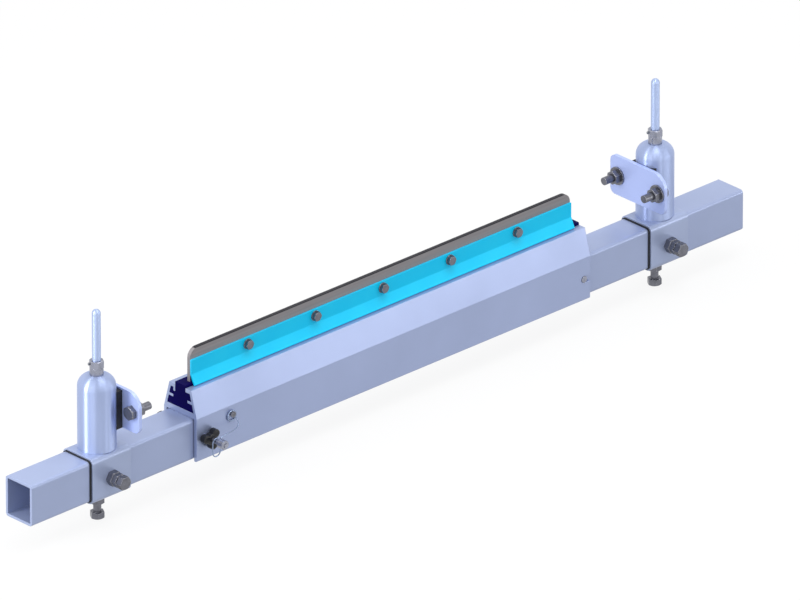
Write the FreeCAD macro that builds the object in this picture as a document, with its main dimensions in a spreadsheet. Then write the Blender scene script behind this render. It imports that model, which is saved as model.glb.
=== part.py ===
import FreeCAD, Part
import os
import Sketcher
from math import cos, pi, tan

# Conveyor belt scraper: a rectangular beam across the conveyor carries a saddle-shaped cover with the
# scraping blade, and hangs at both ends from a sprung tensioner with a plate for the conveyor's frame.
# X runs along the beam, Z points up at the belt and the origin is the middle of the beam's section.
# All sizes are millimetres.

SIZES = {
    # rectangular beam
    "beam_length": 1428, "beam_depth": 55, "beam_height": 65, "beam_wall": 4, "beam_corner": 5,
    # clamp collars with their liners, one under each tensioner
    "tensioner_spacing": 1120, "collar_length": 75, "collar_wall": 2.5,
    "liner_wall": 1.2, "liner_gap": 0.15, "liner_lip": 3,
    # jam bolts, their welded boss nuts and their lock nuts
    "jam_diameter": 12, "jam_head_flats": 19, "jam_head_height": 10, "jam_tip_gap": 0.1,
    "boss_flats": 21, "boss_height": 10, "lock_nut_flats": 19, "lock_nut_height": 8.5,
    "side_jam_reach": 30, "low_jam_reach": 42, "side_jam_drop": 3, "thread_gap": 0.05,
    # tensioner housing with its end plug
    "housing_diameter": 57, "housing_height": 115, "housing_wall": 3.5, "housing_dome": 18,
    "plug_height": 14, "plug_recess_gap": 0.5, "fit_gap": 0.05,
    # tension rod with its foot, spring, spring seat and nut
    "rod_diameter": 13, "rod_rise": 104, "foot_diameter": 24, "foot_height": 6, "running_gap": 0.08,
    "spring_diameter": 44, "spring_wire_width": 6, "spring_wire_height": 5, "spring_turns": 5,
    "seat_diameter": 45, "seat_height": 5, "seat_drop": 20,
    "spring_nut_flats": 19, "spring_nut_height": 10,
    # gland on top of the housing
    "gland_thread_diameter": 17, "gland_neck_diameter": 20.5, "gland_neck_height": 12,
    "gland_nut_flats": 19.5, "gland_nut_height": 11, "gland_screw_diameter": 4, "gland_screw_length": 6,
    # mounting plate and the pad between it and the housing
    "plate_standoff": 30, "plate_thickness": 5.5, "plate_width": 115, "plate_height": 63,
    "plate_lift": 27, "plate_corner": 10, "plate_shoulder": 25, "pad_width": 44, "pad_depth": 18, "pad_drop": 3,
    # bolts of the mounting plate
    "plate_bolt_diameter": 12, "plate_bolt_spacing": 84, "plate_bolt_lift": 31.5, "plate_bolt_length": 34,
    "plate_head_flats": 19.5, "plate_head_height": 8, "plate_nut_flats": 19, "plate_nut_height": 10,
    "plate_washer_diameter": 28, "plate_washer_thickness": 2.5, "plate_hole_gap": 0.5,
    "plate_thread_gap": 0.25,
    # blade cover, an extruded saddle with a channel on top
    "cover_length": 790, "cover_gap": 1.5, "cover_rest_gap": 0.3, "cover_wall": 5.5, "cover_drop": 2,
    "web_height": 9, "fold_rise": 2, "cover_rise": 44, "cover_top_half": 23, "slant_wall": 4.5,
    "lip_height": 6, "lip_half": 11, "hook_depth": 6, "hook_width": 3.5,
    "rib_rise": 22, "rib_height": 4, "rib_half": 15, "cover_foot_radius": 2.5,
    # elastomer core in the channel
    "core_gap": 0.3, "core_proud": 4,
    # blade and its bent backing plate
    "blade_length": 762, "blade_thickness": 6, "blade_back": 0, "blade_rise": 100, "blade_foot_rise": 34,
    "blade_corner": 15, "backing_thickness": 3, "backing_drop": 16.5, "backing_flat": 22.5,
    "backing_leg_height": 15.5, "backing_leg_reach": 7.5, "shoulder_bevel": 0.5,
    # screws through backing plate and blade
    "screw_count": 5, "screw_spacing": 135, "screw_drop": 26.5, "screw_diameter": 8,
    "screw_head_flats": 13, "screw_head_height": 5.5, "screw_washer_diameter": 16,
    "screw_washer_thickness": 1.6, "screw_nut_flats": 13, "screw_nut_height": 6.5, "screw_end": 2,
    # locking pin through cover and beam
    "pin_diameter": 14, "pin_inset": 20, "pin_back_reach": 68, "nose_length": 18, "handle_gap": 2,
    "handle_thickness": 12, "hub_radius": 9, "lobe_radius": 6.5, "lobe_offset": 10.5, "lobe_turn": 45,
    "handle_round": 2.5, "stem_diameter": 8, "stem_length": 13, "pin_head_diameter": 14,
    "pin_head_length": 13, "pin_head_bevel": 1.5, "pin_head_recess": 4, "nose_bevel": 4,
    "nose_tip_diameter": 8.4,
    # hook pin in the beam and the notch in the cover that slides over it
    "hook_diameter": 10, "hook_inset": 12, "notch_gap": 0.6, "hook_proud": 1,
    # stud with a ring on the cover, oval link round the locking pin's neck and the wire between them
    "stud_inset": 68, "stud_level": 22, "stud_diameter": 6, "stud_length": 3.5,
    "stud_head_diameter": 9, "stud_head_height": 2.5, "ring_radius": 7.9, "ring_wire": 2.4,
    "link_radius": 7.5, "link_straight": 14, "link_wire": 1.8, "hang_gap": 0.2, "wire_diameter": 1.6,
}

doc = FreeCAD.newDocument("belt_scraper")
sheet = doc.addObject("Spreadsheet::Sheet", "dims")
for row, (alias, number) in enumerate(SIZES.items(), start=1):
    sheet.set(f"A{row}", str(number))
    sheet.setAlias(f"A{row}", alias)
doc.recompute()

nodes = []


def value(formula):
    """The number that a formula of sheet cells gives."""
    return float(sheet.evalExpression(str(formula)))


def named(thing, label):
    """Marks an object as a finished sub-part with its own node name."""
    thing.Label = label
    nodes.append(thing)
    return thing


def bind(thing, **formulas):
    for name, formula in formulas.items():
        thing.setExpression(name, str(formula))
    return thing


def place(thing, x="0", y="0", z="0", turn=None):
    """Puts an object at a point given by formulas, turned by a fixed rotation."""
    if turn is not None:
        thing.Placement.Rotation = turn
    for axis, formula in (("x", x), ("y", y), ("z", z)):
        thing.setExpression(f"Placement.Base.{axis}", str(formula))
    return thing


# Turns that lay an object's own Z axis along another direction.
TO_RIGHT = FreeCAD.Rotation(FreeCAD.Vector(0, 1, 0), 90)
TO_LEFT = FreeCAD.Rotation(FreeCAD.Vector(0, 1, 0), -90)
TO_FRONT = FreeCAD.Rotation(FreeCAD.Vector(1, 0, 0), 90)
TO_BACK = FreeCAD.Rotation(FreeCAD.Vector(1, 0, 0), -90)
DOWNWARD = FreeCAD.Rotation(FreeCAD.Vector(1, 0, 0), 180)


def new_body(label):
    return doc.addObject("PartDesign::Body", label)


def new_sketch(body, name, role, offset=None):
    """A sketch on one of the body's own origin planes, or at a formula's distance from it."""
    sketch = body.newObject("Sketcher::SketchObject", name)
    plane = next(item for item in body.Origin.OriginFeatures if item.Role == role)
    sketch.AttachmentSupport = (plane, [""])
    sketch.MapMode = "FlatFace"
    if offset is not None:
        sketch.setExpression("AttachmentOffset.Base.z", offset)
    return sketch


def fix_point(sketch, index, vertex, across, up):
    """Ties a vertex of a sketch to formulas for its two coordinates."""
    for kind, formula in (("DistanceX", across), ("DistanceY", up)):
        added = sketch.addConstraint(
            Sketcher.Constraint(kind, -1, 1, index, vertex, value(formula)))
        sketch.setExpression(f"Constraints[{added}]", formula)


def outline(sketch, points):
    """A closed outline of straight edges through points that are pairs of formulas."""
    spots = [FreeCAD.Vector(value(across), value(up), 0) for across, up in points]
    first = sketch.GeometryCount
    last = first + len(points) - 1
    for number, spot in enumerate(spots):
        sketch.addGeometry(Part.LineSegment(spot, spots[(number + 1) % len(spots)]), False)
    for number in range(first, last + 1):
        following = first if number == last else number + 1
        sketch.addConstraint(Sketcher.Constraint("Coincident", number, 2, following, 1))
    for number, (across, up) in enumerate(points):
        fix_point(sketch, first + number, 1, across, up)


def circle(sketch, across, up, diameter):
    centre = FreeCAD.Vector(value(across), value(up), 0)
    index = sketch.addGeometry(
        Part.Circle(centre, FreeCAD.Vector(0, 0, 1), value(diameter) / 2), False)
    fix_point(sketch, index, 3, across, up)
    added = sketch.addConstraint(Sketcher.Constraint("Diameter", index, value(diameter)))
    sketch.setExpression(f"Constraints[{added}]", diameter)


def grow(body, kind, name, sketch, length, symmetric=True, reverse=False):
    """A pad or pocket from a sketch, to both sides of its plane or to one."""
    feature = body.newObject(f"PartDesign::{kind}", name)
    feature.Profile = sketch
    feature.SideType = "Symmetric" if symmetric else "One side"
    feature.Reversed = reverse
    feature.setExpression("Length", length)
    doc.recompute()
    return feature


def rectangle(half_across, half_up):
    return [(f"-({half_across})", f"-({half_up})"), (half_across, f"-({half_up})"),
            (half_across, half_up), (f"-({half_across})", half_up)]


def round_edges(body, name, radius, wanted):
    """Rounds those edges of the body's tip for which wanted(edge) is true."""
    tip = body.Tip
    names = [f"Edge{number}" for number, edge in enumerate(tip.Shape.Edges, start=1) if wanted(edge)]
    fillet = body.newObject("PartDesign::Fillet", name)
    fillet.Base = (tip, names)
    fillet.setExpression("Radius", radius)
    doc.recompute()
    return fillet


def runs_along(edge, axis):
    """True for a straight edge along that axis, 0 for X, 1 for Y and 2 for Z."""
    if not isinstance(edge.Curve, Part.Line):
        return False
    return abs(abs(edge.Curve.Direction[axis]) - 1) < 1e-6


def at_place(edge, axis, spots):
    """True where an edge along that axis passes one of the spots, given by the other two coordinates."""
    middle = edge.CenterOfMass
    others = [middle[number] for number in range(3) if number != axis]
    return any(abs(others[0] - a) < 1e-3 and abs(others[1] - b) < 1e-3 for a, b in spots)


def revolved(label, points):
    """A body turned about its own Z axis from an outline of (radius, height) formulas."""
    body = new_body(label)
    sketch = new_sketch(body, f"{label}_section", "XZ_Plane")
    outline(sketch, points)
    turn = body.newObject("PartDesign::Revolution", f"{label}_turn")
    turn.Profile = sketch
    turn.ReferenceAxis = (sketch, ["V_Axis"])
    turn.Angle = 360
    doc.recompute()
    return body


def cylinder(name, diameter, height):
    return bind(doc.addObject("Part::Cylinder", name), Radius=f"({diameter}) / 2", Height=height)


def tube(name, outer, inner, height):
    """A plain ring, washer or sleeve along Z, from Z 0 up."""
    cut = doc.addObject("Part::Cut", name)
    cut.Base = cylinder(f"{name}_outside", outer, height)
    cut.Tool = cylinder(f"{name}_bore", inner, height)
    return cut


# Part of a hexagon's width that stays flat on its bevelled top.
BEVELLED_SHARE = 0.95


def hexagon(name, flats, height):
    """A hexagonal prism from Z 0 up, its corners bevelled at the top as on bolt heads and nuts."""
    prism = doc.addObject("Part::Prism", f"{name}_hexagon")
    prism.Polygon = 6
    bind(prism, Circumradius=f"({flats}) / sqrt(3)", Height=height)
    bevel = doc.addObject("Part::Cone", f"{name}_bevel")
    top_radius = f"({flats}) * {BEVELLED_SHARE} / 2"
    bind(bevel, Radius1=f"{top_radius} + ({height}) * sqrt(3)", Radius2=top_radius, Height=height)
    common = doc.addObject("Part::MultiCommon", name)
    common.Shapes = [prism, bevel]
    return common


def nut(name, flats, height, thread, gap="dims.thread_gap"):
    """A hexagon nut from Z 0 up, bored for its thread."""
    cut = doc.addObject("Part::Cut", name)
    cut.Base = hexagon(f"{name}_body", flats, height)
    cut.Tool = cylinder(f"{name}_bore", f"{thread} + 2 * {gap}", height)
    return cut


def hex_bolt(name, flats, head_height, diameter, length):
    """A bolt along Z: its head's bearing face is at Z 0 and its shank runs down to -length."""
    head = hexagon(f"{name}_head", flats, head_height)
    shank = cylinder(f"{name}_shank", diameter, length)
    place(shank, z=f"-({length})")
    bolt = doc.addObject("Part::MultiFuse", name)
    bolt.Shapes = [head, shank]
    return bolt


def group(label, things):
    """Identical fasteners that share one node as separate solids."""
    compound = doc.addObject("Part::Compound", f"{label}_group")
    compound.Links = things
    return named(compound, label)


# A formula that gives zero, for spots on an axis or in a middle plane.
ON_AXIS = "0 * 1"

# Levels and distances that several pieces share.
BEAM_TOP = "dims.beam_height / 2"
LINER_HALF_DEPTH = "(dims.beam_depth / 2 + dims.liner_gap)"
LINER_HALF_HEIGHT = "(dims.beam_height / 2 + dims.liner_gap)"
COLLAR_BORE_DEPTH = f"({LINER_HALF_DEPTH} + dims.liner_wall)"
COLLAR_BORE_HEIGHT = f"({LINER_HALF_HEIGHT} + dims.liner_wall)"
COLLAR_FACE = f"({COLLAR_BORE_DEPTH} + dims.collar_wall)"
COLLAR_TOP = f"({COLLAR_BORE_HEIGHT} + dims.collar_wall)"
HOUSING_TOP = f"({COLLAR_TOP} + dims.housing_height)"
FLANGE_INSIDE = "(dims.beam_depth / 2 + dims.cover_gap)"
FLANGE_FACE = f"({FLANGE_INSIDE} + dims.cover_wall)"
WEB_UNDERSIDE = f"({BEAM_TOP} + dims.cover_rest_gap)"
WEB_TOP = f"({WEB_UNDERSIDE} + dims.web_height)"
FOLD_LEVEL = f"({BEAM_TOP} + dims.fold_rise)"
COVER_TOP = f"({BEAM_TOP} + dims.cover_rise)"
BLADE_TOP = f"({BEAM_TOP} + dims.blade_rise)"
BLADE_FOOT = f"({BEAM_TOP} + dims.blade_foot_rise)"
BLADE_FRONT = "(dims.blade_back - dims.blade_thickness)"
PIN_X = "(-dims.cover_length / 2 + dims.pin_inset)"
HOOK_X = "(dims.cover_length / 2 - dims.hook_inset)"
STUD_X = "(-dims.cover_length / 2 + dims.stud_inset)"
PIN_HOLE = "dims.pin_diameter + 2 * dims.running_gap"
JAM_HOLE = "dims.jam_diameter + 2 * dims.plate_hole_gap"
ROD_HOLE = "dims.rod_diameter + 2 * dims.running_gap"
THROUGH = "2 * dims.beam_height + 2 * dims.beam_depth"


def rectangular_sleeve(label, half_depth, half_height, wall, corner, length):
    """A rectangular tube along X with rounded corners, its inside corners rounded to match."""
    body = new_body(label)
    sketch = new_sketch(body, f"{label}_section", "YZ_Plane")
    outline(sketch, rectangle(half_depth, half_height))
    outline(sketch, rectangle(f"{half_depth} - {wall}", f"{half_height} - {wall}"))
    grow(body, "Pad", f"{label}_pad", sketch, length)
    outer = [value(half_depth), value(half_height)]
    inner = [number - value(wall) for number in outer]

    def is_corner(edge, spot):
        return runs_along(edge, 0) and at_place(
            edge, 0, [(a * spot[0], b * spot[1]) for a in (-1, 1) for b in (-1, 1)])

    round_edges(body, f"{label}_outer_corners", corner, lambda edge: is_corner(edge, outer))
    if value(f"({corner}) - ({wall})") > 0.1:
        round_edges(body, f"{label}_inner_corners", f"({corner}) - ({wall})",
                    lambda edge: is_corner(edge, inner))
    return body


def cross_holes(body, name, holes, role="XZ_Plane"):
    """Round holes straight through a body, square to one of its origin planes."""
    sketch = new_sketch(body, f"{name}_circles", role)
    for across, up, diameter in holes:
        circle(sketch, across, up, diameter)
    return grow(body, "Pocket", name, sketch, THROUGH)


def beam():
    body = rectangular_sleeve("beam_tube", "dims.beam_depth / 2", "dims.beam_height / 2",
                              "dims.beam_wall", "dims.beam_corner", "dims.beam_length")
    cross_holes(body, "beam_pin_holes",
                [(PIN_X, ON_AXIS, PIN_HOLE), (HOOK_X, ON_AXIS, "dims.hook_diameter + 2 * dims.fit_gap")])
    named(body, "beam_tube")

    pin = cylinder("hook_pin_rod", "dims.hook_diameter", f"2 * ({FLANGE_FACE} + dims.hook_proud)")
    place(pin, x=HOOK_X, y=f"{FLANGE_FACE} + dims.hook_proud", turn=TO_FRONT)
    named(pin, "hook_pin")


def cover_side(side, hooked):
    """Half of the cover's section, from the middle of the web's underside round to the channel's floor.
    side is 1 for the back and -1 for the front; the back lip also has a hook that points down."""
    def mirrored(across):
        return f"{side} * ({across})"

    slope = f"(({FLANGE_FACE} - dims.cover_top_half) / ({COVER_TOP} - {FOLD_LEVEL}))"

    def wall(level):
        return f"{FLANGE_FACE} - ({level} - {FOLD_LEVEL}) * {slope} - dims.slant_wall"

    lip_under = f"({COVER_TOP} - dims.lip_height)"
    rib_under = f"({BEAM_TOP} + dims.rib_rise)"
    rib_over = f"({rib_under} + dims.rib_height)"
    points = [
        (FLANGE_INSIDE, WEB_UNDERSIDE),
        (FLANGE_INSIDE, f"-(dims.beam_height / 2 + dims.cover_drop)"),
        (FLANGE_FACE, f"-(dims.beam_height / 2 + dims.cover_drop)"),
        (FLANGE_FACE, FOLD_LEVEL),
        ("dims.cover_top_half", COVER_TOP),
        ("dims.lip_half", COVER_TOP),
    ]
    if hooked:
        points += [("dims.lip_half", f"{lip_under} - dims.hook_depth"),
                   ("dims.lip_half + dims.hook_width", f"{lip_under} - dims.hook_depth"),
                   ("dims.lip_half + dims.hook_width", lip_under)]
    else:
        points += [("dims.lip_half", lip_under)]
    points += [
        (wall(lip_under), lip_under),
        (wall(rib_over), rib_over),
        ("dims.rib_half", rib_over),
        ("dims.rib_half", rib_under),
        (wall(rib_under), rib_under),
        (wall(WEB_TOP), WEB_TOP),
    ]
    return [(mirrored(across), up) for across, up in points]


def cover():
    body = new_body("blade_cover")
    section = new_sketch(body, "blade_cover_section", "YZ_Plane")
    outline(section, cover_side(1, True) + cover_side(-1, False)[::-1])
    grow(body, "Pad", "blade_cover_extrusion", section, "dims.cover_length")

    face = value(FLANGE_FACE)
    foot = -value("dims.beam_height / 2 + dims.cover_drop")
    fold = value(FOLD_LEVEL)
    round_edges(body, "blade_cover_foot_edges", "min(dims.cover_foot_radius; dims.cover_wall * 0.8)",
                lambda edge: runs_along(edge, 0) and at_place(edge, 0, [(face, foot), (-face, foot)]))
    round_edges(body, "blade_cover_folds", "dims.cover_foot_radius",
                lambda edge: runs_along(edge, 0) and at_place(edge, 0, [(face, fold), (-face, fold)]))

    past_end = "dims.cover_length / 2 + dims.hook_inset"
    half = "(dims.hook_diameter / 2 + dims.notch_gap)"
    notch = new_sketch(body, "blade_cover_notch_outline", "XZ_Plane")
    outline(notch, [(HOOK_X, f"-{half}"), (past_end, f"-{half}"),
                    (past_end, half), (HOOK_X, half)])
    grow(body, "Pocket", "blade_cover_notch", notch, THROUGH)
    cross_holes(body, "blade_cover_notch_end", [(HOOK_X, ON_AXIS, f"2 * {half}")])
    cross_holes(body, "blade_cover_pin_holes", [(PIN_X, ON_AXIS, PIN_HOLE)])
    named(body, "blade_cover")


def core():
    """Elastomer extrusion that fills the channel and grips its lips and ribs."""
    gap = "dims.core_gap"
    slope = f"(({FLANGE_FACE} - dims.cover_top_half) / ({COVER_TOP} - {FOLD_LEVEL}))"

    def wall(level):
        return f"{FLANGE_FACE} - (({level}) - {FOLD_LEVEL}) * {slope} - dims.slant_wall - {gap}"

    lip_under = f"({COVER_TOP} - dims.lip_height - {gap})"
    rib_under = f"({BEAM_TOP} + dims.rib_rise - {gap})"
    rib_over = f"({BEAM_TOP} + dims.rib_rise + dims.rib_height + {gap})"
    floor = f"({WEB_TOP} + {gap})"
    neck = f"dims.lip_half - {gap}"
    hook = f"dims.lip_half + dims.hook_width + {gap}"
    top = f"({COVER_TOP} + dims.core_proud)"

    back = [
        (wall(floor), floor), (wall(rib_under), rib_under),
        (f"dims.rib_half - {gap}", rib_under), (f"dims.rib_half - {gap}", rib_over),
        (wall(rib_over), rib_over), (wall(lip_under), lip_under),
        (hook, lip_under), (hook, f"{lip_under} - dims.hook_depth"),
        (neck, f"{lip_under} - dims.hook_depth"), (neck, top),
    ]
    front = [
        (wall(floor), floor), (wall(rib_under), rib_under),
        (f"dims.rib_half - {gap}", rib_under), (f"dims.rib_half - {gap}", rib_over),
        (wall(rib_over), rib_over), (wall(lip_under), lip_under),
        (neck, lip_under), (neck, top),
    ]
    body = new_body("elastomer_core")
    section = new_sketch(body, "elastomer_core_section", "YZ_Plane")
    outline(section, back + [(f"-({across})", up) for across, up in front][::-1])
    grow(body, "Pad", "elastomer_core_extrusion", section, "dims.cover_length")

    shoulder = new_sketch(body, "elastomer_core_shoulder_section", "YZ_Plane")
    outline(shoulder, [(BLADE_FRONT, top), (BLADE_FRONT, backing_bend_inside()),
                       (LEG_FOOT_INSIDE[0], LEG_FOOT_INSIDE[1]),
                       (f"-({neck})", f"{COVER_TOP} + {gap}"), (f"-({neck})", f"{top} - dims.shoulder_bevel")])
    grow(body, "Pad", "elastomer_core_shoulder", shoulder, "dims.blade_length")

    groove = new_sketch(body, "elastomer_core_groove_section", "YZ_Plane")
    outline(groove, [(BLADE_FRONT, BLADE_FOOT), ("dims.blade_back", BLADE_FOOT),
                     ("dims.blade_back", f"{BLADE_TOP}"), (BLADE_FRONT, f"{BLADE_TOP}")])
    grow(body, "Pocket", "elastomer_core_groove", groove, "dims.blade_length")
    named(body, "elastomer_core")


# The backing plate's leg leans forward; its length and its offset give the plate's inside points.
BACKING_TOP = f"({BLADE_TOP} - dims.backing_drop)"
BACKING_BEND = f"({BACKING_TOP} - dims.backing_flat)"
BACKING_FACE = f"({BLADE_FRONT} - dims.backing_thickness)"
LEG_LENGTH = "sqrt(pow(dims.backing_leg_height; 2) + pow(dims.backing_leg_reach; 2))"
LEG_FOOT = (f"({BACKING_FACE} - dims.backing_leg_reach)", f"({BACKING_BEND} - dims.backing_leg_height)")
LEG_FOOT_INSIDE = (
    f"({LEG_FOOT[0]} + dims.backing_thickness * dims.backing_leg_height / {LEG_LENGTH})",
    f"({LEG_FOOT[1]} - dims.backing_thickness * dims.backing_leg_reach / {LEG_LENGTH})",
)


def backing_bend_inside():
    """Level at which the leg's inside meets the blade's front face."""
    return (f"({LEG_FOOT_INSIDE[1]} + ({BLADE_FRONT} - {LEG_FOOT_INSIDE[0]})"
            f" * dims.backing_leg_height / dims.backing_leg_reach)")


def blade():
    body = new_body("scraper_blade")
    face = new_sketch(body, "scraper_blade_face", "XZ_Plane", f"-(dims.blade_back + {BLADE_FRONT}) / 2")
    half = "dims.blade_length / 2"
    outline(face, [(f"-({half})", BLADE_FOOT), (half, BLADE_FOOT), (half, BLADE_TOP),
                   (f"-({half})", BLADE_TOP)])
    spots = screw_spots()
    level = f"{BLADE_TOP} - dims.screw_drop"
    for across in spots:
        circle(face, across, level, SCREW_HOLE)
    grow(body, "Pad", "scraper_blade_sheet", face, "dims.blade_thickness")
    reach = value(half)
    top = value(BLADE_TOP)
    round_edges(body, "scraper_blade_corners", "dims.blade_corner",
                lambda edge: runs_along(edge, 1) and at_place(edge, 1, [(reach, top), (-reach, top)]))
    named(body, "scraper_blade")

    plate = new_body("backing_plate")
    section = new_sketch(plate, "backing_plate_section", "YZ_Plane")
    outline(section, [(BLADE_FRONT, BACKING_TOP), (BACKING_FACE, BACKING_TOP), (BACKING_FACE, BACKING_BEND),
                      LEG_FOOT, LEG_FOOT_INSIDE, (BLADE_FRONT, backing_bend_inside())])
    grow(plate, "Pad", "backing_plate_sheet", section, "dims.blade_length")
    cross_holes(plate, "backing_plate_holes", [(across, level, SCREW_HOLE) for across in spots])
    named(plate, "backing_plate")


SCREW_HOLE = "dims.screw_diameter + 2 * dims.fit_gap"


def screw_spots():
    """Places of the blade screws along the beam, evenly about its middle."""
    count = round(value("dims.screw_count"))
    return [f"{number - (count - 1) / 2} * dims.screw_spacing" for number in range(count)]


def blade_screws():
    level = f"{BLADE_TOP} - dims.screw_drop"
    grip = ("(dims.blade_thickness + dims.backing_thickness + 2 * dims.screw_washer_thickness"
            " + dims.screw_nut_height + dims.screw_end)")
    screws, washers, nuts = [], [], []
    for number, across in enumerate(screw_spots(), start=1):
        screw = hex_bolt(f"blade_screw_{number}", "dims.screw_head_flats", "dims.screw_head_height",
                         "dims.screw_diameter", grip)
        place(screw, across, f"{BACKING_FACE} - dims.screw_washer_thickness", level, TO_FRONT)
        screws.append(screw)
        for side, bearing, turn in (("front", BACKING_FACE, TO_FRONT), ("back", "dims.blade_back", TO_BACK)):
            washer = tube(f"blade_{side}_washer_{number}", "dims.screw_washer_diameter", SCREW_HOLE,
                          "dims.screw_washer_thickness")
            washers.append(place(washer, across, bearing, level, turn))
        one = nut(f"blade_nut_{number}", "dims.screw_nut_flats", "dims.screw_nut_height",
                  "dims.screw_diameter")
        nuts.append(place(one, across, "dims.blade_back + dims.screw_washer_thickness", level, TO_BACK))
    group("blade_screws", screws)
    group("blade_washers", washers)
    group("blade_nuts", nuts)


HANDLE_FACE = f"({FLANGE_FACE} + dims.handle_gap)"
HANDLE_FRONT = f"({HANDLE_FACE} + dims.handle_thickness)"
STEM_END = f"({HANDLE_FRONT} + dims.stem_length)"


def locking_pin():
    """Pin through the cover's flanges and the beam, its handle and head at the front. Its own Z points
    at the front and starts at the beam's middle."""
    shank = "dims.pin_diameter / 2"
    stem = "dims.stem_diameter / 2"
    head = "dims.pin_head_diameter / 2"
    head_end = f"{STEM_END} + dims.pin_head_length"
    tail = "-(dims.pin_back_reach - dims.nose_length)"
    body = revolved("locking_pin", [
        (ON_AXIS, tail), (shank, tail), (shank, HANDLE_FACE), (stem, HANDLE_FACE), (stem, STEM_END),
        (head, f"{STEM_END} + dims.pin_head_bevel"), (head, f"{head_end} - dims.pin_head_bevel"),
        (f"{head} - dims.pin_head_bevel", head_end), (f"{head} - 2 * dims.pin_head_bevel", head_end),
        (ON_AXIS, f"{head_end} - dims.pin_head_recess"),
    ])
    named(place(body, x=PIN_X, turn=TO_FRONT), "locking_pin")

    nose = revolved("locking_pin_nose", [
        (ON_AXIS, "-dims.pin_back_reach"), ("dims.nose_tip_diameter / 2", "-dims.pin_back_reach"),
        (shank, "-dims.pin_back_reach + dims.nose_bevel"), (shank, tail), (ON_AXIS, tail)])
    named(place(nose, x=PIN_X, turn=TO_FRONT), "locking_pin_nose")


def pin_handle():
    """Handle of three round lobes about a hub."""
    body = new_body("locking_pin_handle")
    hub = new_sketch(body, "handle_hub_circle", "XY_Plane", HANDLE_FACE)
    circle(hub, ON_AXIS, ON_AXIS, "2 * dims.hub_radius")
    grow(body, "Pad", "handle_hub", hub, "dims.handle_thickness", symmetric=False)
    lobe = new_sketch(body, "handle_lobe_circle", "XY_Plane", HANDLE_FACE)
    circle(lobe, "dims.lobe_offset * cos(dims.lobe_turn)", "dims.lobe_offset * sin(dims.lobe_turn)",
           "2 * dims.lobe_radius")
    pad = grow(body, "Pad", "handle_lobe", lobe, "dims.handle_thickness", symmetric=False)
    lobes = body.newObject("PartDesign::PolarPattern", "handle_lobes")
    lobes.Originals = [pad]
    lobes.Axis = (hub, ["N_Axis"])
    lobes.Angle = 360
    lobes.Occurrences = 3
    body.Tip = lobes
    doc.recompute()
    levels = [value(HANDLE_FACE), value(HANDLE_FRONT)]
    round_edges(body, "handle_rims", "dims.handle_round", lambda edge: any(
        abs(edge.BoundBox.ZMin - level) < 1e-4 and abs(edge.BoundBox.ZMax - level) < 1e-4
        for level in levels))
    bore = new_sketch(body, "handle_bore_circle", "XY_Plane", HANDLE_FACE)
    circle(bore, ON_AXIS, ON_AXIS, "dims.stem_diameter + 2 * dims.fit_gap")
    grow(body, "Pocket", "handle_bore", bore, THROUGH)
    named(place(body, x=PIN_X, turn=TO_FRONT), "locking_pin_handle")


def lanyard_ends():
    """Stud and ring on the cover's front, and the oval link that hangs on the locking pin's neck."""
    stud = revolved("lanyard_stud", [
        (ON_AXIS, FLANGE_FACE), ("dims.stud_diameter / 2", FLANGE_FACE),
        ("dims.stud_diameter / 2", f"{FLANGE_FACE} + dims.stud_length"),
        ("dims.stud_head_diameter / 2", f"{FLANGE_FACE} + dims.stud_length"),
        ("dims.stud_head_diameter / 2", f"{FLANGE_FACE} + dims.stud_length + dims.stud_head_height"),
        (ON_AXIS, f"{FLANGE_FACE} + dims.stud_length + dims.stud_head_height")])
    named(place(stud, STUD_X, z="dims.stud_level", turn=TO_FRONT), "lanyard_stud")

    ring = doc.addObject("Part::Torus", "lanyard_ring_wire")
    bind(ring, Radius1="dims.ring_radius", Radius2="dims.ring_wire / 2")
    drop = "(dims.ring_radius - dims.ring_wire / 2 - dims.stud_diameter / 2 - dims.hang_gap)"
    place(ring, STUD_X, f"-({FLANGE_FACE} + dims.stud_length / 2)", f"dims.stud_level - {drop}", TO_FRONT)
    named(ring, "lanyard_ring")

    pieces = []
    for name, shift, angle in (("upper", ON_AXIS, 0), ("lower", "-dims.link_straight", 180)):
        bow = doc.addObject("Part::Torus", f"lanyard_link_{name}_bow")
        bow.Angle3 = 180
        bind(bow, Radius1="dims.link_radius", Radius2="dims.link_wire / 2")
        pieces.append(place(bow, y=shift, turn=FreeCAD.Rotation(FreeCAD.Vector(0, 0, 1), angle)))
    for name, side in (("left", "-dims.link_radius"), ("right", "dims.link_radius")):
        straight = cylinder(f"lanyard_link_{name}_side", "dims.link_wire", "dims.link_straight")
        pieces.append(place(straight, x=side, turn=TO_FRONT))
    link = doc.addObject("Part::MultiFuse", "lanyard_link_piece")
    link.Shapes = pieces
    sag = "(dims.link_radius - dims.link_wire / 2 - dims.stem_diameter / 2 - dims.hang_gap)"
    place(link, PIN_X, f"-({HANDLE_FRONT} + dims.stem_length / 2)", f"-{sag}", TO_FRONT)
    named(link, "lanyard_link")


# Points of the lanyard, chosen by eye from the photograph: down from the ring on the stud, then in a
# slack bow across the cover to the shoulder of the link on the locking pin's neck.
LANYARD_ROUTE = [
    (-318.5, -37.3, 13.2), (-317.5, -41, 6.6), (-323.5, -45.3, 2.6), (-335, -49.1, 2.1),
    (-347, -52.5, 3.8), (-357.5, -54.7, 4.9), (-367.8, -55, 2.65),
]


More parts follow.
